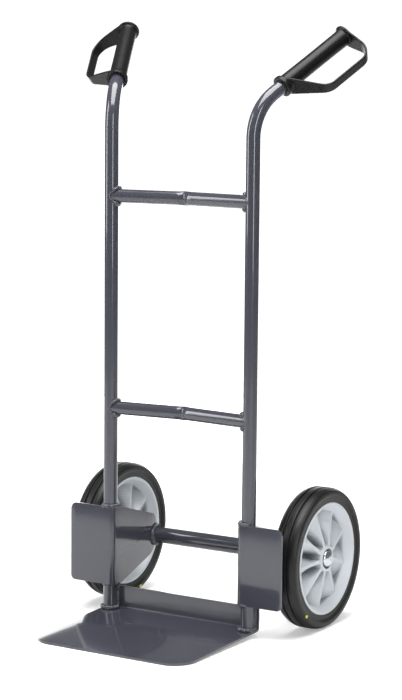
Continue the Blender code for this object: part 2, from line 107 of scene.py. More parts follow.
def make_floor():
    mesh = bpy.data.meshes.new("floor")
    reach = 12
    corners = [(-reach, -reach, 0), (reach, -reach, 0), (reach, reach, 0), (-reach, reach, 0)]
    mesh.from_pydata(corners, [], [(0, 1, 2, 3)])
    board = bpy.data.materials.new("board")
    board.use_nodes = True
    shader = board.node_tree.nodes["Principled BSDF"]
    shader.inputs["Base Color"].default_value = BOARD
    shader.inputs["Roughness"].default_value = 0.9
    shader.inputs["Specular IOR Level"].default_value = 0.1
    shader.inputs["Emission Color"].default_value = (1, 1, 1, 1)
    nodes, links = board.node_tree.nodes, board.node_tree.links
    seen = nodes.new("ShaderNodeLightPath")
    place = nodes.new("ShaderNodeTexCoord")
    away = nodes.new("ShaderNodeVectorMath")
    away.operation = "LENGTH"
    links.new(place.outputs["Object"], away.inputs[0])
    fade = nodes.new("ShaderNodeMapRange")
    fade.interpolation_type = "SMOOTHSTEP"
    fade.inputs["From Min"].default_value = 0.3
    fade.inputs["From Max"].default_value = FLOOR_FADE
    fade.inputs["To Min"].default_value = FLOOR_GLOW
    fade.inputs["To Max"].default_value = 1.0
    links.new(away.outputs["Value"], fade.inputs["Value"])
    glow = nodes.new("ShaderNodeMath")
    glow.operation = "MULTIPLY"
    links.new(seen.outputs["Is Camera Ray"], glow.inputs[0])
    links.new(fade.outputs["Result"], glow.inputs[1])
    links.new(glow.outputs["Value"], shader.inputs["Emission Strength"])
    mesh.materials.append(board)
    floor = bpy.data.objects.new("floor", mesh)
    bpy.context.scene.collection.objects.link(floor)


bpy.context.scene.view_settings.view_transform = "Standard"
make_camera()
make_room()
make_floor()
soft_box("top_box", (0.2, -0.4, 3.0), (0, 0, 0.3), 2.2, 2.2, 115)
soft_box("left_box", (-2.2, -1.6, 1.5), (0, 0, 0.5), 0.9, 2.2, 38)
soft_box("right_box", (2.3, -1.9, 1.4), (0, 0, 0.5), 0.5, 2.2, 26)
soft_box("back_card", (-1.3, 2.2, 0.5), (0, 0, 0.3), 3.4, 1.2, 36)

# ---- Uprights: two 25 mm welded steel tubes with a 1.5 mm wall, painted with dark blue-grey powder.
# Each is bent back and outward at the top on a tube bender, and its end runs up inside the grip.
SIDES = {"left": -1, "right": 1}
PAINT = (0.048, 0.050, 0.066, 1.0)
# Lighter paint along the outer edges: painted highlight.
PAINT_EDGE_HIGHLIGHT = (0.14, 0.145, 0.165, 1.0)
BEND_RADIUS = 0.0915
BEND_ANGLE = math.radians(56.5)
SPLAY = math.radians(25.0)
BEND_START = {-1: 0.8671, 1: 0.8597}
COLLAR_RUN = 0.018
TUBE_IN_GRIP = 0.120
UP = Vector((0, 0, 1))
upright_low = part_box("upright_right")[0]
TUBE_RADIUS = 0.0125
UPRIGHT_X = upright_low.x + TUBE_RADIUS
UPRIGHT_Y = upright_low.y + TUBE_RADIUS
# Reach of the painted shade in deep corners.
SHADE_REACH = 0.022


def new_group(name, takes, gives):
    """An empty shader node group with its inputs (name, kind, value) and outputs (name, kind)."""
    group = bpy.data.node_groups.new(name, "ShaderNodeTree")
    for label, kind, value in takes:
        socket = group.interface.new_socket(label, in_out="INPUT", socket_type=kind)
        socket.default_value = value
    for label, kind in gives:
        group.interface.new_socket(label, in_out="OUTPUT", socket_type=kind)
    return group, group.nodes.new("NodeGroupInput"), group.nodes.new("NodeGroupOutput")


def math_node(group, operation, first, second):
    """A math node fed by sockets or plain numbers."""
    node = group.nodes.new("ShaderNodeMath")
    node.operation = operation
    for socket, value in zip(node.inputs, (first, second)):
        if isinstance(value, (int, float)):
            socket.default_value = value
        else:
            group.links.new(value, socket)
    return node.outputs["Value"]


def make_scuffed_and_lit_edges():
    """Mask of the outer edges, broken up by noise: 1 where a finish shows its edge colour, partly rubbed
    wear and partly painted highlight.
    """
    takes = [("Width", "NodeSocketFloat", 0.001), ("Breakup", "NodeSocketFloat", 60.0)]
    group, inner, outer = new_group("scuffed_and_lit_edges", takes, [("Mask", "NodeSocketFloat")])
    round_edge = group.nodes.new("ShaderNodeBevel")
    round_edge.samples = 4
    group.links.new(inner.outputs["Width"], round_edge.inputs["Radius"])
    surface = group.nodes.new("ShaderNodeNewGeometry")
    match = group.nodes.new("ShaderNodeVectorMath")
    match.operation = "DOT_PRODUCT"
    group.links.new(round_edge.outputs["Normal"], match.inputs[0])
    group.links.new(surface.outputs["Normal"], match.inputs[1])
    turned_away = math_node(group, "SUBTRACT", 1.0, match.outputs["Value"])
    place = group.nodes.new("ShaderNodeTexCoord")
    patch = group.nodes.new("ShaderNodeTexNoise")
    patch.inputs["Detail"].default_value = 4
    group.links.new(place.outputs["Object"], patch.inputs["Vector"])
    group.links.new(inner.outputs["Breakup"], patch.inputs["Scale"])
    spotty = math_node(group, "MULTIPLY", turned_away, patch.outputs["Fac"])
    ramp = group.nodes.new("ShaderNodeMapRange")
    ramp.inputs["From Min"].default_value = 0.02
    ramp.inputs["From Max"].default_value = 0.12
    group.links.new(spotty, ramp.inputs["Value"])
    group.links.new(ramp.outputs["Result"], outer.inputs["Mask"])
    return group


def make_skin():
    """Fine relief and slow mottling of a sprayed or moulded surface."""
    takes = [
        ("Colour", "NodeSocketColor", (0.5, 0.5, 0.5, 1.0)),
        ("Scuff And Highlight Colour", "NodeSocketColor", (0.5, 0.5, 0.5, 1.0)),
        ("Scuff And Highlight", "NodeSocketFloat", 0.0),
        ("Pitch", "NodeSocketFloat", 400.0),
        ("Mottle", "NodeSocketFloat", 0.05),
        ("Gloss Low", "NodeSocketFloat", 0.2),
        ("Gloss High", "NodeSocketFloat", 0.3),
    ]
    gives = [("Colour", "NodeSocketColor"), ("Roughness", "NodeSocketFloat"), ("Height", "NodeSocketFloat")]
    group, inner, outer = new_group("surface_skin", takes, gives)
    place = group.nodes.new("ShaderNodeTexCoord")
    fine = group.nodes.new("ShaderNodeTexNoise")
    fine.inputs["Detail"].default_value = 3
    slow = group.nodes.new("ShaderNodeTexNoise")
    slow.inputs["Scale"].default_value = 14
    slow.inputs["Detail"].default_value = 5
    for texture in (fine, slow):
        group.links.new(place.outputs["Object"], texture.inputs["Vector"])
    group.links.new(inner.outputs["Pitch"], fine.inputs["Scale"])
    swing = math_node(group, "SUBTRACT", slow.outputs["Fac"], 0.5)
    drift = math_node(group, "MULTIPLY", swing, inner.outputs["Mottle"])
    level = math_node(group, "ADD", drift, 1.0)
    tint = group.nodes.new("ShaderNodeVectorMath")
    tint.operation = "SCALE"
    group.links.new(inner.outputs["Colour"], tint.inputs[0])
    group.links.new(level, tint.inputs["Scale"])
    # The edge colour mixed in here is partly rubbed wear and partly painted highlight.
    scuffed_and_lit = group.nodes.new("ShaderNodeMix")
    scuffed_and_lit.data_type = "RGBA"
    group.links.new(inner.outputs["Scuff And Highlight"], scuffed_and_lit.inputs["Factor"])
    group.links.new(tint.outputs["Vector"], scuffed_and_lit.inputs[6])
    group.links.new(inner.outputs["Scuff And Highlight Colour"], scuffed_and_lit.inputs[7])
    gloss = group.nodes.new("ShaderNodeMapRange")
    gloss.inputs["From Min"].default_value = 0.3
    gloss.inputs["From Max"].default_value = 0.7
    group.links.new(slow.outputs["Fac"], gloss.inputs["Value"])
    group.links.new(inner.outputs["Gloss Low"], gloss.inputs["To Min"])
    group.links.new(inner.outputs["Gloss High"], gloss.inputs["To Max"])
    group.links.new(scuffed_and_lit.outputs[2], outer.inputs["Colour"])
    group.links.new(gloss.outputs["Result"], outer.inputs["Roughness"])
    group.links.new(fine.outputs["Fac"], outer.inputs["Height"])
    return group


scuffed_and_lit_edges = make_scuffed_and_lit_edges()
surface_skin = make_skin()


def make_finish(name, colour, scuff_and_highlight, pitch, mottle, gloss, relief, edge=0.001, painted_shade=None, **sockets):
    """A material made of the skin group and the edge mask group, whose edge colour is partly rubbed wear
    and partly painted highlight. An optional shade colour darkens its deep corners: painted shade.
    """
    finish = bpy.data.materials.new(name)
    finish.use_nodes = True
    nodes, links = finish.node_tree.nodes, finish.node_tree.links
    shader = nodes["Principled BSDF"]
    edge_mask = nodes.new("ShaderNodeGroup")
    edge_mask.node_tree = scuffed_and_lit_edges
    edge_mask.inputs["Width"].default_value = edge
    skin = nodes.new("ShaderNodeGroup")
    skin.node_tree = surface_skin
    skin.inputs["Colour"].default_value = colour
    skin.inputs["Scuff And Highlight Colour"].default_value = scuff_and_highlight
    skin.inputs["Pitch"].default_value = pitch
    skin.inputs["Mottle"].default_value = mottle
    skin.inputs["Gloss Low"].default_value = gloss[0]
    skin.inputs["Gloss High"].default_value = gloss[1]
    links.new(edge_mask.outputs["Mask"], skin.inputs["Scuff And Highlight"])
    links.new(skin.outputs["Colour"], shader.inputs["Base Color"])
    # Painted shade: ambient occlusion darkens the deep corners toward the shade colour.
    if painted_shade:
        hidden = nodes.new("ShaderNodeAmbientOcclusion")
        hidden.inputs["Distance"].default_value = SHADE_REACH
        depth = nodes.new("ShaderNodeMapRange")
        depth.inputs["From Min"].default_value = 0.35
        depth.inputs["From Max"].default_value = 0.85
        links.new(hidden.outputs["AO"], depth.inputs["Value"])
        shade = nodes.new("ShaderNodeMix")
        shade.data_type = "RGBA"
        shade.inputs[6].default_value = painted_shade
        links.new(depth.outputs["Result"], shade.inputs["Factor"])
        links.new(skin.outputs["Colour"], shade.inputs[7])
        links.new(shade.outputs[2], shader.inputs["Base Color"])
    links.new(skin.outputs["Roughness"], shader.inputs["Roughness"])
    bump = nodes.new("ShaderNodeBump")
    bump.inputs["Strength"].default_value = 1.0
    bump.inputs["Distance"].default_value = relief
    links.new(skin.outputs["Height"], bump.inputs["Height"])
    links.new(bump.outputs["Normal"], shader.inputs["Normal"])
    for label, value in sockets.items():
        shader.inputs[label.replace("_", " ")].default_value = value
    return finish


def add_piece(name, points, faces, finish, slot, nodes, body="frame", crease=35):
    """Make a mesh piece, with its outside turned outward, and hang it on a body of the frame."""
    mesh = bpy.data.meshes.new(name)
    mesh.from_pydata([tuple(point) for point in points], [], faces)
    shape = bmesh.new()
    shape.from_mesh(mesh)
    bmesh.ops.remove_doubles(shape, verts=shape.verts, dist=1e-6)
    bmesh.ops.recalc_face_normals(shape, faces=shape.faces)
    shape.to_mesh(mesh)
    shape.free()
    for face in mesh.polygons:
        face.use_smooth = True
    mesh.set_sharp_from_angle(angle=math.radians(crease))
    mesh.materials.append(finish)
    piece = bpy.data.objects.new(name, mesh)
    bpy.context.scene.collection.objects.link(piece)
    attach(piece, body)
    if nodes:
        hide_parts(*nodes)
    return piece


def sweep(path, section, up):
    """Points and faces of a bar along a path. section(i) gives its outline as (across, up) pairs."""
    count = len(path)
    points = []
    for i, place in enumerate(path):
        ahead = (path[min(i + 1, count - 1)] - path[max(i - 1, 0)]).normalized()
        up = (up - ahead * up.dot(ahead)).normalized()
        across = ahead.cross(up)
        points += [place + across * u + up * v for u, v in section(i)]
    sides = len(points) // count
    last = len(points) - sides
    faces = [tuple(range(sides)), tuple(reversed(range(last, last + sides)))]
    for a in range(0, last, sides):
        for j in range(sides):
            k = (j + 1) % sides
            faces.append((a + k, a + j, a + sides + j, a + sides + k))
    return points, faces


def round_section(radius, sides=56):
    turns = [math.tau * i / sides for i in range(sides)]
    return [(radius * math.cos(turn), radius * math.sin(turn)) for turn in turns]


def lean(side):
    """Level direction in which the top of an upright is bent."""
    return Vector((side * math.sin(SPLAY), math.cos(SPLAY), 0))


def grip_direction(side):
    return math.sin(BEND_ANGLE) * lean(side) + math.cos(BEND_ANGLE) * UP


def bend_point(side, turn):
    start = Vector((side * UPRIGHT_X, UPRIGHT_Y, BEND_START[side]))
    return start + BEND_RADIUS * ((1 - math.cos(turn)) * lean(side) + math.sin(turn) * UP)


def upright_path(side):
    path = [Vector((side * UPRIGHT_X, UPRIGHT_Y, upright_low.z))]
    steps = 28
    path += [bend_point(side, BEND_ANGLE * i / steps) for i in range(steps + 1)]
    path.append(path[-1] + (COLLAR_RUN + TUBE_IN_GRIP) * grip_direction(side))
    return path


# The paint's edges carry a painted highlight.
paint = make_finish(
    "blue_grey_powder_coat", PAINT, PAINT_EDGE_HIGHLIGHT, pitch=520, mottle=0.08, gloss=(0.13, 0.18),
    relief=0.000006, edge=0.0012, Coat_Weight=0.7, Coat_Roughness=0.04,
)
for side_name, side in SIDES.items():
    tube = sweep(upright_path(side), lambda i: round_section(TUBE_RADIUS), Vector((0, 1, 0)))
    add_piece(f"upright_tube_{side_name}", *tube, paint, "frame_paint", [f"upright_{side_name}"])

# ---- Rungs: two 24 mm tubes, each pressed to a shallow V that bows to the rear.
# The press leaves a crimp on the inside of the fold. The ends are coped and welded to the uprights.
RUNG_RADIUS = 0.012
RUNG_BOW = 0.017
CRIMP_DEPTH = 0.30
CRIMP_LENGTH = 0.0075
FOLD_EASE = 0.008
RUNG_TUCK = 0.002


def rung_section(x):
    """The rung's outline at x: flattened on the load side near the fold."""
    crimp = math.exp(-((x / CRIMP_LENGTH) ** 2))
    outline = []
    for across, up in round_section(RUNG_RADIUS):
        press = 1 - CRIMP_DEPTH * crimp if up < 0 else 1.0
        outline.append((across * (1 + 0.05 * crimp), up * press))
    return outline


def rung_y(x):
    slope = RUNG_BOW / UPRIGHT_X
    return UPRIGHT_Y + RUNG_BOW - slope * (math.sqrt(x * x + FOLD_EASE**2) - FOLD_EASE / 2)


for name in ("rung_lower", "rung_upper"):
    low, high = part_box(name)
    height = (low.z + high.z) / 2
    reach = UPRIGHT_X - RUNG_TUCK
    xs = [reach * math.copysign(abs(i / 60) ** 1.6, i) for i in range(-60, 61)]
    path = [Vector((x, rung_y(x), height)) for x in xs]
    tube = sweep(path, lambda i: rung_section(xs[i]), Vector((0, 1, 0)))
    add_piece(f"{name}_tube", *tube, paint, "frame_paint", [name])

# ---- Toe plate: 4 mm steel sheet with wide front corners, folded up at the back behind the uprights.
# It is laser cut and press folded, its edges are broken by hand, and it falls slightly to the front.
TOE_THICK = 0.004
TOE_CORNER = 0.042
TOE_BEND = 0.007
SHEET_EDGE = 0.0009
toe_low, toe_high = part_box("toe_plate")
TOE_RISE = 0.0082
TOE_REACH = 0.2315


def rounded_limit(distance, radius):
    """How far a rounded corner pulls an edge back, at a distance from the sheet's end."""
    if distance >= radius:
        return 0.0
    return radius - math.sqrt(max(radius**2 - (radius - distance) ** 2, 0.0))


def sheet(columns):
    rows = len(columns[0])
    points = [point for column in columns for point in column]
    faces = []
    for i in range(len(columns) - 1):
        for j in range(rows - 1):
            a = i * rows + j
            faces.append((a, a + rows, a + rows + 1, a + 1))
    return points, faces


def thicken(piece, thickness, way, cutter=None):
    """Give a sheet its thickness and broken edges."""
    wall = piece.modifiers.new("thickness", "SOLIDIFY")
    wall.thickness = thickness
    wall.offset = way
    wall.use_even_offset = True
    if cutter:
        notch = piece.modifiers.new("notch", "BOOLEAN")
        notch.operation = "DIFFERENCE"
        notch.solver = "EXACT"
        notch.object = cutter
    edge = piece.modifiers.new("broken_edge", "BEVEL")
    edge.width = SHEET_EDGE
    edge.segments = 3
    edge.limit_method = "ANGLE"
    edge.angle_limit = math.radians(50)
    edge.harden_normals = False
    bake_shape(piece)


def bake_shape(piece, crease=35):
    """Replace a piece's mesh by the one its modifiers give."""
    graph = bpy.context.evaluated_depsgraph_get()
    shape = bpy.data.meshes.new_from_object(piece.evaluated_get(graph))
    piece.modifiers.clear()
    piece.data = shape
    for face in shape.polygons:
        face.use_smooth = True
    shape.set_sharp_from_angle(angle=math.radians(crease))


def toe_columns():
    slope = math.atan(TOE_RISE / TOE_REACH)
    half = toe_high.x
    back = toe_high.y
    front = toe_low.y
    steps = 26
    ends = [TOE_CORNER * (1 - math.cos(math.pi / 2 * i / steps)) for i in range(steps + 1)]
    xs = [end - half for end in ends] + [half - end for end in reversed(ends)]
    base = (back - TOE_BEND - front) * math.tan(slope) + TOE_BEND / math.cos(slope)
    columns = []
    for x in xs:
        pull = rounded_limit(half - abs(x), TOE_CORNER)
        column = [Vector((x, front + pull, pull * math.tan(slope)))]
        for i in range(13):
            turn = slope + (math.pi / 2 - slope) * i / 12
            rise = base - TOE_BEND * math.cos(turn)
            column.append(Vector((x, back - TOE_BEND + TOE_BEND * math.sin(turn), rise)))
        column.append(Vector((x, back, toe_high.z)))
        columns.append(column)
    return columns


toe = add_piece("toe_plate_sheet", *sheet(toe_columns()), paint, "frame_paint", ["toe_plate"])
thicken(toe, TOE_THICK, math.copysign(1, toe.data.polygons[0].normal.z))

# ---- Axle: a 30 mm painted steel tube laid in the notches of the side plates, with the wheel shaft in it.
# The shaft is a 20 mm bar of bright drawn steel, and the caps cover its ends.
axle_low, axle_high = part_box("axle_tube")
AXLE_RADIUS = (axle_high.z - axle_low.z) / 2
AXLE_BORE = 0.0125
AXLE_Y = (axle_low.y + axle_high.y) / 2
AXLE_Z = (axle_low.z + axle_high.z) / 2
SHAFT_RADIUS = 0.010
SHAFT_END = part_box("axle_shaft")[1].x
STEEL = (0.56, 0.565, 0.57, 1.0)
ZINC = (0.62, 0.65, 0.68, 1.0)


def rounded(outline, steps=4):
    """Round the corners of a closed outline of (radius, height, corner) entries."""
    result = []
    count = len(outline)
    for i, (radius, height, corner) in enumerate(outline):
        here = Vector((radius, height))
        before = Vector(outline[i - 1][:2]) - here
        after = Vector(outline[(i + 1) % count][:2]) - here
        if corner == 0 or before.length < 1e-7 or after.length < 1e-7:
            result.append(here)
            continue
        cut = min(corner, before.length * 0.45, after.length * 0.45)
        start = here + before.normalized() * cut
        end = here + after.normalized() * cut
        for j in range(steps + 1):
            share = j / steps
            result.append(start * (1 - share) ** 2 + here * 2 * share * (1 - share) + end * share**2)
    return result


def turned(outline, place, steps=96):
    """Turn a closed (radius, height) outline about its height axis, and put it at a place."""
    count = len(outline)
    points = []
    for i in range(steps):
        turn = math.tau * i / steps
        for radius, height in outline:
            points.append(place @ Vector((radius * math.cos(turn), radius * math.sin(turn), height)))
    faces = []
    for i in range(steps):
        a, b = i * count, (i + 1) % steps * count
        for j in range(count):
            k = (j + 1) % count
            faces.append((a + j, b + j, b + k, a + k))
    return points, faces


def on_axle(side, x=0.0):
    """Place whose Z axis points outward along the axle, with its origin x out from the middle."""
    turn = Matrix.Rotation(side * math.pi / 2, 4, "Y")
    return Matrix.Translation((side * x, AXLE_Y, AXLE_Z)) @ turn


def make_turning_marks():
    """Fine rings round the axle, as a lathe or a mould leaves them."""
    takes = [("Rings", "NodeSocketFloat", 900.0), ("Waver", "NodeSocketFloat", 0.4)]
    group, inner, outer = new_group("turning_marks", takes, [("Height", "NodeSocketFloat")])
    place = group.nodes.new("ShaderNodeTexCoord")
    shift = group.nodes.new("ShaderNodeVectorMath")
    shift.operation = "SUBTRACT"
    shift.inputs[1].default_value = (0, AXLE_Y, AXLE_Z)
    group.links.new(place.outputs["Object"], shift.inputs[0])
    flat = group.nodes.new("ShaderNodeVectorMath")
    flat.operation = "MULTIPLY"
    flat.inputs[1].default_value = (0, 1, 1)
    group.links.new(shift.outputs["Vector"], flat.inputs[0])
    away = group.nodes.new("ShaderNodeVectorMath")
    away.operation = "LENGTH"
    group.links.new(flat.outputs["Vector"], away.inputs[0])
    ripple = group.nodes.new("ShaderNodeTexNoise")
    ripple.noise_dimensions = "1D"
    ripple.inputs["Detail"].default_value = 4
    waver = group.nodes.new("ShaderNodeTexNoise")
    waver.inputs["Scale"].default_value = 25
    group.links.new(place.outputs["Object"], waver.inputs["Vector"])
    drift = math_node(group, "MULTIPLY", waver.outputs["Fac"], inner.outputs["Waver"])
    drift = math_node(group, "MULTIPLY", drift, 0.001)
    radius = math_node(group, "ADD", away.outputs["Value"], drift)
    group.links.new(radius, ripple.inputs["W"])
    group.links.new(inner.outputs["Rings"], ripple.inputs["Scale"])
    group.links.new(ripple.outputs["Fac"], outer.inputs["Height"])
    return group


turning_marks = make_turning_marks()


def add_rings(finish, rings, relief):
    """Lay turning marks under the fine relief of a finish."""
    nodes, links = finish.node_tree.nodes, finish.node_tree.links
    marks = nodes.new("ShaderNodeGroup")
    marks.node_tree = turning_marks
    marks.inputs["Rings"].default_value = rings
    bump = nodes.new("ShaderNodeBump")
    bump.inputs["Distance"].default_value = relief
    links.new(marks.outputs["Height"], bump.inputs["Height"])
    fine = nodes["Bump"]
    links.new(bump.outputs["Normal"], fine.inputs["Normal"])
    return finish


steel = add_rings(
    make_finish("drawn_steel", STEEL, STEEL, 700, 0.1, (0.22, 0.34), 0.00001, Metallic=1.0), 1400, 0.00003,
)
zinc = add_rings(
    make_finish("bright_zinc", ZINC, ZINC, 300, 0.12, (0.16, 0.3), 0.00003, Metallic=1.0), 900, 0.00003,
)
end = axle_high.x
tube_outline = rounded([
    (AXLE_BORE, end, 0.0003),
    (AXLE_RADIUS, end, 0.0008),
    (AXLE_RADIUS, -end, 0.0008),
    (AXLE_BORE, -end, 0.0003),
])
add_piece("axle_tube_cut", *turned(tube_outline, on_axle(1)), paint, "frame_paint", ["axle_tube"])
shaft_outline = rounded([
    (0.0, SHAFT_END, 0),
    (SHAFT_RADIUS, SHAFT_END, 0.001),
    (SHAFT_RADIUS, -SHAFT_END, 0.001),
    (0.0, -SHAFT_END, 0),
])
add_piece("axle_bar", *turned(shaft_outline, on_axle(1), 64), steel, "bright_steel", ["axle_shaft"])

# ---- Side plates: 3 mm steel, folded to an angle round the inner side and the front of each upright.
# The front wing shields the wheel. The rear wing carries the axle in a half-round notch at its back edge.
PLATE_THICK = 0.003
PLATE_BEND = 0.009
PLATE_CORNER = 0.012
PLATE_LOW_CORNER = 0.009
WING_DROP = 0.036
WING_CHAMFER_START = 0.012
WING_CHAMFER_RISE = 0.040
WING_TOP_CORNER = 0.010
WING_LOW_CORNER = 0.022
NOTCH_GAP = 0.0003
plate_low, plate_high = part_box("side_plate_right")
WING_REACH = plate_high.y - UPRIGHT_Y


def wing_top(y):
    fall = WING_DROP * max(y, 0.0) / WING_REACH
    return plate_high.z - fall - rounded_limit(WING_REACH - y, WING_TOP_CORNER)


def wing_bottom(y):
    rise = WING_CHAMFER_RISE * max(y - WING_CHAMFER_START, 0.0) / (WING_REACH - WING_CHAMFER_START)
    return plate_low.z + rise + rounded_limit(WING_REACH - y, WING_LOW_CORNER)


def plate_columns(side):
    inner = plate_low.x
    front = plate_low.y - UPRIGHT_Y
    spots = []
    for i in range(17):
        aside = PLATE_CORNER * (1 - math.cos(math.pi / 2 * i / 16))
        top = rounded_limit(aside, PLATE_CORNER)
        bottom = rounded_limit(aside, PLATE_LOW_CORNER)
        spots.append((plate_high.x - aside, front, plate_low.z + bottom, plate_high.z - top))
    for i in range(13):
        turn = math.pi / 2 * i / 12
        x = inner + PLATE_BEND * (1 - math.sin(turn))
        spots.append((x, front + PLATE_BEND * (1 - math.cos(turn)), plate_low.z, plate_high.z))
    for y in (0.0, WING_CHAMFER_START, WING_REACH - WING_LOW_CORNER):
        spots.append((inner, y, wing_bottom(y), wing_top(y)))
    for i in range(1, 17):
        y = WING_REACH - WING_LOW_CORNER * (1 - math.sin(math.pi / 2 * i / 16))
        spots.append((inner, y, wing_bottom(y), wing_top(y)))
    return [
        [Vector((side * x, UPRIGHT_Y + y, low)), Vector((side * x, UPRIGHT_Y + y, high))]
        for x, y, low, high in spots
    ]


def make_notch_tool():
    """A short bar of the axle's size, used to cut the notches and then thrown away."""
    outline = [Vector((0.0, 0.3)), Vector((AXLE_RADIUS + NOTCH_GAP, 0.3))]
    outline += [Vector((AXLE_RADIUS + NOTCH_GAP, -0.3)), Vector((0.0, -0.3))]
    tool = add_piece("notch_tool", *turned(outline, on_axle(1), 96), paint, "frame_paint", [])
    return tool


notch_tool = make_notch_tool()
for side_name, side in SIDES.items():
    name = f"side_plate_sheet_{side_name}"
    plate = add_piece(name, *sheet(plate_columns(side)), paint, "frame_paint", [f"side_plate_{side_name}"])
    front_face = min(plate.data.polygons, key=lambda face: face.center.y)
    thicken(plate, PLATE_THICK, math.copysign(1, front_face.normal.y), notch_tool)
bpy.data.objects.remove(notch_tool, do_unlink=True)

# ---- Welds: gas-shielded steel beads laid by hand, each a row of overlapping ripples under the paint.
# They join rungs, plates and feet to the tubes, and the axle tube to the plates.
BEAD_STEP = 0.0005
RIPPLE = 0.0031
BEAD_UP = Vector((0.03, 0.02, 1))
RUNG_RING = 0.0017
RUNG_FILLET = 0.0040
CREST_START = 0.72
CREST_SWEEP = 1.70
PLATE_TOP_BEAD = 0.0043
PLATE_LOW_BEAD = 0.0034
FOOT_BEAD = 0.0043
FLANGE_BEAD = 0.0046
FLANGE_OUTER_BEAD = 0.0034
AXLE_BEAD = 0.0046
AXLE_OUTER_BEAD = 0.0040
AXLE_BEAD_AWAY = 0.0012
PLATE_WELD_END = math.radians(118)
CORNER_ASIDE = 0.0085


def even_steps(path):
    """The same path, with points spaced evenly enough to carry ripples."""
    result = [path[0]]
    for start, end in zip(path, path[1:]):
        count = max(1, round((end - start).length / BEAD_STEP))
        result += [start.lerp(end, i / count) for i in range(1, count + 1)]
    return result


def bead_section(i, count, size, seed):
    """A lumpy round outline whose size swells with each ripple and dies away at the ends."""
    run = i * BEAD_STEP
    swell = 0.80 + 0.24 * abs(math.sin(math.pi * run / RIPPLE)) ** 0.6
    swell += 0.34 * noise.noise(Vector((run * 240, seed, 0.5)))
    taper = min(1.0, 0.35 + min(i, count - 1 - i) * BEAD_STEP / (size * 1.2))
    outline = []
    for across, up in round_section(size * swell * taper, 14):
        lump = 1 + 0.22 * noise.noise(Vector((run * 500, across * 900 + seed, up * 900)))
        outline.append((across * lump, up * lump))
    return outline


def weld(name, path, size, seed):
    path = even_steps(path)
    count = len(path)
    bead = sweep(path, lambda i: bead_section(i, count, size, seed), BEAD_UP)
    add_piece(name, *bead, paint, "frame_paint", [], crease=80)


def rung_saddle(side, height, y, away, start, stop):
    """The line where a rung meets an upright, a little proud of both. Turns grow from the rear up."""
    path = []
    for i in range(61):
        turn = start + (stop - start) * i / 60
        reach_y = (RUNG_RADIUS + away) * math.cos(turn)
        x = UPRIGHT_X - math.sqrt((TUBE_RADIUS + away * 0.6) ** 2 - min(reach_y**2, TUBE_RADIUS**2 * 0.96))
        path.append(Vector((side * x, y + reach_y, height + (RUNG_RADIUS + away) * math.sin(turn))))
    return path


def tube_arc(side, height, start, stop, away):
    """Arc round an upright. 0 is the load side, and turns grow toward the truck's middle."""
    path = []
    for i in range(33):
        turn = start + (stop - start) * i / 32
        x = side * (UPRIGHT_X - (TUBE_RADIUS + away) * math.sin(turn))
        y = UPRIGHT_Y - (TUBE_RADIUS + away) * math.cos(turn)
        path.append(Vector((x, y, height)))
    return path


def axle_ring(side, x, start, stop):
    radius = AXLE_RADIUS + AXLE_BEAD_AWAY
    path = []
    for i in range(41):
        turn = start + (stop - start) * i / 40
        y = AXLE_Y - radius * math.cos(turn)
        path.append(Vector((side * x, y, AXLE_Z + radius * math.sin(turn))))
    return path


foot = upright_low.z
plate_inner = plate_low.x
for side_name, side in SIDES.items():
    seed = 3.7 if side < 0 else 9.1
    for rung in ("rung_lower", "rung_upper"):
        low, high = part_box(rung)
        middle = (low.z + high.z) / 2
        ring = rung_saddle(side, middle, rung_y(UPRIGHT_X), 0.0003, 0.0, math.tau)
        weld(f"weld_{rung}_ring_{side_name}", ring, RUNG_RING, seed + low.z)
        for half, start in (("top", CREST_START), ("bottom", CREST_START + math.pi)):
            crest = rung_saddle(side, middle, rung_y(UPRIGHT_X), 0.0019, start, start + CREST_SWEEP)
            weld(f"weld_{rung}_{half}_{side_name}", crest, RUNG_FILLET, seed + low.z + start)
    arc = tube_arc(side, plate_high.z, -0.75, PLATE_WELD_END, 0.0018)
    weld(f"weld_plate_top_{side_name}", arc, PLATE_TOP_BEAD, seed + 1)
    arc = tube_arc(side, plate_low.z, -0.6, PLATE_WELD_END, 0.0014)
    weld(f"weld_plate_bottom_{side_name}", arc, PLATE_LOW_BEAD, seed + 2)
    weld(f"weld_foot_{side_name}", tube_arc(side, foot, -2.2, 2.3, 0.0014), FOOT_BEAD, seed + 3)
    corner_y = UPRIGHT_Y + TUBE_RADIUS - 0.0012
    corner_x = side * (UPRIGHT_X - CORNER_ASIDE)
    rise = [Vector((corner_x, corner_y, foot)), Vector((corner_x, corner_y, toe_high.z + 0.001))]
    weld(f"weld_flange_{side_name}", rise, FLANGE_BEAD, seed + 4)
    outer_x = side * (UPRIGHT_X + CORNER_ASIDE)
    rise = [Vector((outer_x, corner_y, foot)), Vector((outer_x, corner_y, toe_high.z))]
    weld(f"weld_flange_outer_{side_name}", rise, FLANGE_OUTER_BEAD, seed + 5)
    ring = axle_ring(side, plate_inner - 0.0008, -1.65, 1.75)
    weld(f"weld_axle_inner_{side_name}", ring, AXLE_BEAD, seed + 6)
    ring = axle_ring(side, plate_inner + PLATE_THICK + 0.0008, -1.6, 1.6)
    weld(f"weld_axle_outer_{side_name}", ring, AXLE_OUTER_BEAD, seed + 7)

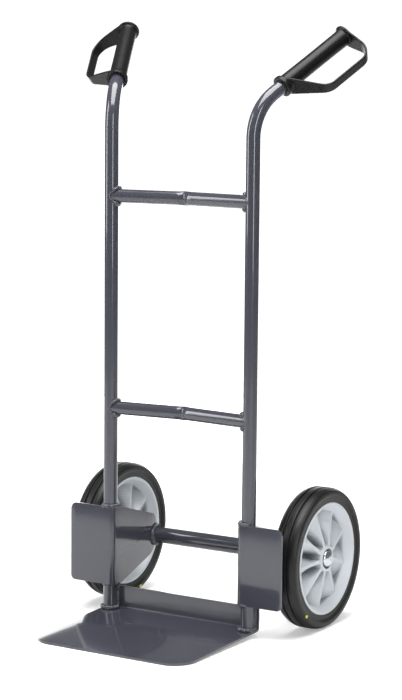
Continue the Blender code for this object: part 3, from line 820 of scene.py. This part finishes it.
# ---- Handles: one black nylon moulding each, a round grip pushed over the tube with a flat guard strap.
# The strap leaves the collar at its full width, narrows to a plain bar, and widens again into the end disc.
PLASTIC = (0.0052, 0.0052, 0.0056, 1.0)
PLASTIC_RUBBED = (0.012, 0.012, 0.0125, 1.0)
GRIP_RADIUS = 0.0155
GRIP_BORE = 0.0128
GRIP_LENGTH = 0.160
COLLAR_RADIUS = 0.0190
COLLAR_LENGTH = 0.008
DISC_RADIUS = 0.0200
DISC = 0.004
STRAP_THICK = 0.004
STRAP_OUT = 0.069
STRAP_HALF = 0.009
STRAP_TILT = math.radians(14)
STRAP_LOW = 0.006
STRAP_LOW_CORNER = 0.047
STRAP_LOW_RADIUS = 0.024
STRAP_TOP_CORNER = 0.155
STRAP_TOP_RADIUS = 0.029
STRAP_TOP = 0.1575
HANDLE_GRAIN = 0.0009


def grip_place(side):
    """Grip axes in the world: X along the grip, Y toward the strap, Z across it."""
    along = grip_direction(side)
    outward = Vector((side, 0, 0))
    outward = (outward - along * outward.dot(along)).normalized()
    outward = Matrix.Rotation(side * STRAP_TILT, 3, along) @ outward
    turn = Matrix((along, outward, along.cross(outward))).transposed().to_4x4()
    return Matrix.Translation(bend_point(side, BEND_ANGLE) + along * COLLAR_RUN) @ turn


def strap_path():
    """Middle line of the strap, from the collar round to the end disc."""
    corners = [
        Vector((STRAP_LOW, 0.0)),
        Vector((STRAP_LOW_CORNER, STRAP_OUT)),
        Vector((STRAP_TOP_CORNER, STRAP_OUT)),
        Vector((STRAP_TOP, 0.0)),
    ]
    path = [corners[0]]
    for i, radius in ((1, STRAP_LOW_RADIUS), (2, STRAP_TOP_RADIUS)):
        before = (corners[i - 1] - corners[i]).normalized()
        after = (corners[i + 1] - corners[i]).normalized()
        half_angle = before.angle(after) / 2
        middle = corners[i] + (before + after).normalized() * radius / math.sin(half_angle)
        start = corners[i] + before * radius / math.tan(half_angle) - middle
        sweep_angle = math.pi - 2 * half_angle
        path += [middle + Matrix.Rotation(-sweep_angle * j / 20, 2) @ start for j in range(21)]
    path.append(corners[3])
    result = [path[0]]
    for start, end in zip(path, path[1:]):
        count = max(1, round((end - start).length / 0.004))
        result += [start.lerp(end, i / count) for i in range(1, count + 1)]
    return [Vector((place.x, place.y, 0)) for place in result]


def strap_half(out):
    """Half the strap's width, at a distance out from the grip's middle line."""
    share = min(max(out / STRAP_OUT, 0.0), 1.0)
    ease = share * share * (3 - 2 * share)
    return COLLAR_RADIUS + (STRAP_HALF - COLLAR_RADIUS) * (0.5 * share + 0.5 * ease)


def strap_section(half):
    outline = [
        (half, -STRAP_THICK / 2, 0.0016),
        (half, STRAP_THICK / 2, 0.0016),
        (-half, STRAP_THICK / 2, 0.0016),
        (-half, -STRAP_THICK / 2, 0.0016),
    ]
    return [(point.x, point.y) for point in rounded(outline)]


def grip_outline():
    disc_low = GRIP_LENGTH - DISC
    return rounded([
        (0.0, GRIP_LENGTH, 0),
        (DISC_RADIUS, GRIP_LENGTH, 0.0014),
        (DISC_RADIUS, disc_low, 0.0008),
        (GRIP_RADIUS + 0.0006, disc_low - 0.0015, 0.0012),
        (GRIP_RADIUS, disc_low - 0.008, 0.003),
        (GRIP_RADIUS - 0.0005, GRIP_LENGTH / 2, 0.03),
        (GRIP_RADIUS, COLLAR_LENGTH + 0.006, 0.003),
        (GRIP_RADIUS + 0.0006, COLLAR_LENGTH + 0.001, 0.0006),
        (COLLAR_RADIUS, COLLAR_LENGTH, 0.0008),
        (COLLAR_RADIUS, 0.0, 0.0012),
        (0.0, 0.0, 0),
    ])


def make_handle(side_name, side, finish):
    place = grip_place(side)
    path = strap_path()
    points, faces = sweep(path, lambda i: strap_section(strap_half(path[i].y)), Vector((0, 1, 0)))
    name = f"handle_moulding_{side_name}"
    points = [place @ point for point in points]
    handle = add_piece(name, points, faces, finish, "handle_plastic", [f"handle_{side_name}"])
    along = place @ Matrix.Rotation(math.pi / 2, 4, "Y")
    grip = add_piece("grip_core", *turned(grip_outline(), along, 72), finish, "handle_plastic", [])
    bore_outline = [Vector((0.0, TUBE_IN_GRIP)), Vector((GRIP_BORE, TUBE_IN_GRIP))]
    bore_outline += [Vector((GRIP_BORE, -0.02)), Vector((0.0, -0.02))]
    bore = add_piece("grip_bore", *turned(bore_outline, along, 72), finish, "handle_plastic", [])
    for tool, operation in ((grip, "UNION"), (bore, "DIFFERENCE")):
        cut = handle.modifiers.new(tool.name, "BOOLEAN")
        cut.operation = operation
        cut.solver = "EXACT"
        cut.object = tool
    fuse(handle, HANDLE_GRAIN, 5)
    for tool in (grip, bore):
        bpy.data.objects.remove(tool, do_unlink=True)


def fuse(piece, grain, passes):
    """Fuse a piece's solids into one moulded skin with small fillets where they meet."""
    skin = piece.modifiers.new("fuse", "REMESH")
    skin.mode = "VOXEL"
    skin.voxel_size = grain
    soften = piece.modifiers.new("soften", "SMOOTH")
    soften.factor = 0.5
    soften.iterations = passes
    bake_shape(piece, 180)


plastic = make_finish(
    "black_nylon", PLASTIC, PLASTIC_RUBBED, pitch=1400, mottle=0.12, gloss=(0.32, 0.38), relief=0.000004,
    Specular_IOR_Level=0.28,
)
for side_name, side in SIDES.items():
    make_handle(side_name, side, plastic)

# ---- Tyres: solid black rubber, 250 mm across, moulded with three tread ribs and a stepped side wall.
# A dab of yellow paint on one wall of each marks the batch, and a small pip is left by the mould's vent.
RUBBER = (0.0058, 0.0058, 0.0062, 1.0)
# Grey on the tread's rib and groove edges is painted highlight.
RUBBER_EDGE_HIGHLIGHT = (0.12, 0.12, 0.125, 1.0)
YELLOW = (0.62, 0.72, 0.02, 1.0)
tyre_low, tyre_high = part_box("tyre_right")
TYRE_RADIUS = (tyre_high.z - tyre_low.z) / 2
TYRE_HALF = (tyre_high.x - tyre_low.x) / 2
WHEEL_X = (tyre_high.x + tyre_low.x) / 2
rim_low, rim_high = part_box("rim_right")
RIM_RADIUS = (rim_high.z - rim_low.z) / 2
SEAT = RIM_RADIUS + 0.0003
GROOVE_AT = 0.0072
GROOVE_HALF = 0.0021
GROOVE_FLOOR = 0.0011
GROOVE_DEPTH = 0.0034


def tyre_outline():
    """Half of the section, from the bead over the side wall to the tread, then its mirror image."""
    half = [
        (SEAT, TYRE_HALF - 0.0036, 0.0004),
        (0.1082, TYRE_HALF - 0.0034, 0.0005),
        (0.1090, TYRE_HALF - 0.0018, 0.0005),
        (0.1110, TYRE_HALF - 0.0016, 0.0004),
        (0.1117, TYRE_HALF - 0.0002, 0.0006),
        (0.1160, TYRE_HALF, 0.003),
        (0.1202, TYRE_HALF - 0.0009, 0.0007),
        (0.1238, TYRE_HALF - 0.0070, 0.003),
        (TYRE_RADIUS - 0.0002, TYRE_HALF - 0.0115, 0.002),
        (TYRE_RADIUS, GROOVE_AT + GROOVE_HALF, 0.0005),
        (TYRE_RADIUS - GROOVE_DEPTH, GROOVE_AT + GROOVE_FLOOR, 0.0004),
        (TYRE_RADIUS - GROOVE_DEPTH, GROOVE_AT - GROOVE_FLOOR, 0.0004),
        (TYRE_RADIUS, GROOVE_AT - GROOVE_HALF, 0.0005),
    ]
    return rounded(half + [(radius, -height, corner) for radius, height, corner in reversed(half)], 3)


def blob(radius, height, place, steps=28):
    """A low, slightly uneven dab standing on a flat face."""
    points = [place @ Vector((0, 0, height))]
    for share, rise in ((0.45, 0.95), (0.8, 0.7), (1.0, 0.0), (0.9, -0.6)):
        for i in range(steps):
            turn = math.tau * i / steps
            wobble = 1 + 0.12 * noise.noise(Vector((math.cos(turn), math.sin(turn), 4.2)))
            reach = radius * share * wobble
            points.append(place @ Vector((reach * math.cos(turn), reach * math.sin(turn), height * rise)))
    faces = [(0, 1 + i, 1 + (i + 1) % steps) for i in range(steps)]
    for ring in range(3):
        for i in range(steps):
            a, b = 1 + ring * steps, 1 + (ring + 1) * steps
            j = (i + 1) % steps
            faces.append((a + i, b + i, b + j, a + j))
    faces.append(tuple(1 + 3 * steps + i for i in reversed(range(steps))))
    return points, faces


def wall_place(side, face, radius, turn):
    """A place on a tyre's side wall: face 1 is the outer wall. The turn runs from the rear up."""
    x = side * (WHEEL_X + face * TYRE_HALF)
    y = AXLE_Y + radius * math.cos(turn)
    z = AXLE_Z + radius * math.sin(turn)
    return Matrix.Translation((x, y, z)) @ Matrix.Rotation(side * face * math.pi / 2, 4, "Y")


# The groove edges carry a painted highlight.
plain_rubber = make_finish(
    "tyre_rubber", RUBBER, RUBBER_EDGE_HIGHLIGHT, pitch=900, mottle=0.25, gloss=(0.34, 0.44), relief=0.00001,
    Specular_IOR_Level=0.36,
)
rubber = add_rings(plain_rubber, 260, 0.0002)
yellow = make_finish("yellow_dab", YELLOW, YELLOW, 800, 0.1, (0.4, 0.5), 0.00003)
for side_name, side in SIDES.items():
    body = f"wheel_{side_name}"
    place = on_axle(side, WHEEL_X)
    tyre = turned(tyre_outline(), place, 160)
    add_piece(f"tyre_tread_{side_name}", *tyre, rubber, "tyre", [f"tyre_{side_name}"], body, 50)
    dab_face, dab_turn = (1, math.radians(-131.5)) if side > 0 else (-1, math.radians(-73.5))
    smear = Matrix.Diagonal((1, 1.6, 1, 1))
    dab = blob(0.0027, 0.0003, wall_place(side, dab_face, 0.1168, dab_turn) @ smear)
    add_piece(f"batch_dab_{side_name}", *dab, yellow, "tyre", [], body)
    pip = blob(0.0022, 0.0006, wall_place(side, 1, 0.1160, math.radians(162)))
    add_piece(f"vent_pip_{side_name}", *pip, rubber, "tyre", [], body)

# ---- Rims: light grey nylon wheels, injection moulded in one piece with the hub.
# The web is folded into nine ridges on each face, thin at the barrel and flaring into a star at the hub.
RIM_GREY = (0.60, 0.635, 0.67, 1.0)
# Near white on the ridge edges is painted highlight.
RIM_EDGE_HIGHLIGHT = (0.88, 0.90, 0.92, 1.0)
# The dark colour in the web's deep corners is painted shade.
RIM_PAINTED_SHADE = (0.22, 0.245, 0.265, 1.0)
RIM_HALF = (rim_high.x - rim_low.x) / 2
LIP_RADIUS = 0.0945
WELL_RADIUS = 0.084
WELL_HALF = 0.0055
HUB_RADIUS = 0.0235
RECESS_RADIUS = 0.0175
RECESS_DEPTH = 0.0075
BUSH_RADIUS = 0.0145
RIDGES = 9
RIDGE_TOP = 0.0013
RIDGE_FLARE = 0.0030
RIDGE_SKEW = 0.0010
WEB_THICK = 0.003
WEB_AT_HUB = 0.0165
WEB_AT_WELL = 0.0075
FIRST_RIDGE = math.radians(155)
RIM_GRAIN = 0.0008


def web_level(share):
    return WEB_AT_HUB + (WEB_AT_WELL - WEB_AT_HUB) * share


def web_ring(radius, face):
    """One ring of the folded web's front (face 1) or back (face -1) skin."""
    share = min(max((radius - HUB_RADIUS) / (WELL_RADIUS - HUB_RADIUS), 0.0), 1.0)
    flare = (RIDGE_FLARE - RIDGE_TOP) * max(1 - 2.2 * share, 0.0) ** 1.5
    ring = []
    for i in range(2 * RIDGES):
        middle = FIRST_RIDGE + math.pi * i / RIDGES
        lift = 1 if i % 2 == 0 else -1
        half = RIDGE_TOP + flare + lift * face * RIDGE_SKEW
        level = lift * web_level(share) + face * WEB_THICK / 2
        for way in (-1, 1):
            turn = middle + way * half / radius
            ring.append(Vector((radius * math.cos(turn), radius * math.sin(turn), level)))
    return ring


def web_mesh():
    inner = (HUB_RADIUS + BUSH_RADIUS) / 2
    outer = (WELL_RADIUS + RIM_RADIUS) / 2
    radii = [inner] + [HUB_RADIUS + (WELL_RADIUS - HUB_RADIUS) * i / 14 for i in range(15)] + [outer]
    across = 4 * RIDGES
    points = []
    for face in (1, -1):
        for radius in radii:
            points += web_ring(radius, face)
    layer = len(radii) * across
    last = layer - across
    faces = []
    for i in range(across):
        j = (i + 1) % across
        for a in range(0, last, across):
            b = a + across
            faces.append((a + i, b + i, b + j, a + j))
            faces.append((layer + a + i, layer + a + j, layer + b + j, layer + b + i))
        faces.append((i, j, layer + j, layer + i))
        faces.append((last + i, layer + last + i, layer + last + j, last + j))
    return points, faces


def barrel_outline():
    upper = [
        (WELL_RADIUS, WELL_HALF, 0.003),
        (LIP_RADIUS, RIM_HALF, 0.0008),
        (RIM_RADIUS, RIM_HALF, 0.0006),
    ]
    return rounded(upper + [(radius, -height, corner) for radius, height, corner in reversed(upper)])


def hub_outline():
    seat = RIM_HALF - RECESS_DEPTH
    return rounded([
        (RECESS_RADIUS, RIM_HALF, 0.0006),
        (HUB_RADIUS, RIM_HALF - 0.0004, 0.0018),
        (HUB_RADIUS, -RIM_HALF, 0.0012),
        (BUSH_RADIUS + 0.0003, -RIM_HALF, 0.0005),
        (BUSH_RADIUS + 0.0003, seat, 0.0004),
        (RECESS_RADIUS, seat, 0.0004),
    ])


def joined(*shapes):
    points, faces = [], []
    for more_points, more_faces in shapes:
        start = len(points)
        points += more_points
        faces += [tuple(start + i for i in face) for face in more_faces]
    return points, faces


# The rim finish has painted highlight on its ridge edges and painted shade in its deep corners.
rim_grey = make_finish(
    "light_grey_nylon", RIM_GREY, RIM_EDGE_HIGHLIGHT, pitch=700, mottle=0.05, gloss=(0.28, 0.36), relief=0.00001,
    edge=0.0016, painted_shade=RIM_PAINTED_SHADE,
)
rest = Matrix.Identity(4)
rim_points, rim_faces = joined(
    turned(barrel_outline(), rest, 180), turned(hub_outline(), rest, 96), web_mesh(),
)
for side_name, side in SIDES.items():
    place = on_axle(side, WHEEL_X)
    points = [place @ point for point in rim_points]
    rim = add_piece(f"rim_moulding_{side_name}", points, rim_faces, rim_grey, "rim_plastic",
                    [f"rim_{side_name}"], f"wheel_{side_name}")
    fuse(rim, RIM_GRAIN, 2)

# ---- Hub fittings: a black bearing bush in each hub, zinc washers, and a domed zinc cap on the shaft.
# The cap is pressed from sheet, with a small dimple at its middle, and grips the shaft inside the recess.
BUSH_BLACK = (0.018, 0.018, 0.018, 1.0)
CAP_RADIUS = 0.0148
CAP_EDGE = 0.002
bush_black = make_finish("bush_black", BUSH_BLACK, BUSH_BLACK, 900, 0.1, (0.4, 0.5), 0.00003)


def ring_outline(node, corner):
    """Outline of a plain ring, with the outer radius and ends of its CAD node."""
    low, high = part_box(node)
    outer = (high.z - low.z) / 2
    inner = SHAFT_RADIUS + 0.0003
    ends = sorted((abs(low.x), abs(high.x)))
    return rounded([
        (inner, ends[1], corner / 2),
        (outer, ends[1], corner),
        (outer, ends[0], corner),
        (inner, ends[0], corner / 2),
    ])


def cap_outline(inner_face, top):
    base = SHAFT_END - CAP_EDGE
    outline = [(0.0, top - 0.0009, 0), (0.0016, top - 0.0007, 0.0004), (0.0026, top - 0.0001, 0.0004)]
    for i in range(4, 16):
        turn = math.pi / 2 * i / 16
        outline.append((CAP_RADIUS * math.sin(turn), base + (top - base) * math.cos(turn), 0.0003))
    outline += [
        (CAP_RADIUS, base - 0.0005, 0.0006),
        (CAP_RADIUS, inner_face, 0.0006),
        (SHAFT_RADIUS + 0.0003, inner_face, 0.0003),
        (SHAFT_RADIUS + 0.0003, SHAFT_END + 0.0003, 0),
        (0.0, SHAFT_END + 0.0003, 0),
    ]
    return rounded(outline)


for side_name, side in SIDES.items():
    place = on_axle(side)
    node = f"bush_{side_name}"
    bush = turned(ring_outline(node, 0.0005), place)
    add_piece(f"bush_sleeve_{side_name}", *bush, bush_black, "bush_plastic", [node], f"wheel_{side_name}")
    for spot in ("inner", "outer"):
        node = f"{spot}_washer_{side_name}"
        ring = turned(ring_outline(node, 0.0003), place)
        add_piece(f"{spot}_ring_{side_name}", *ring, zinc, "zinc", [node])
    low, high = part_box(f"cap_{side_name}")
    ends = sorted((abs(low.x), abs(high.x)))
    cap = turned(cap_outline(*ends), place)
    add_piece(f"hub_cap_{side_name}", *cap, zinc, "zinc", [f"cap_{side_name}"])
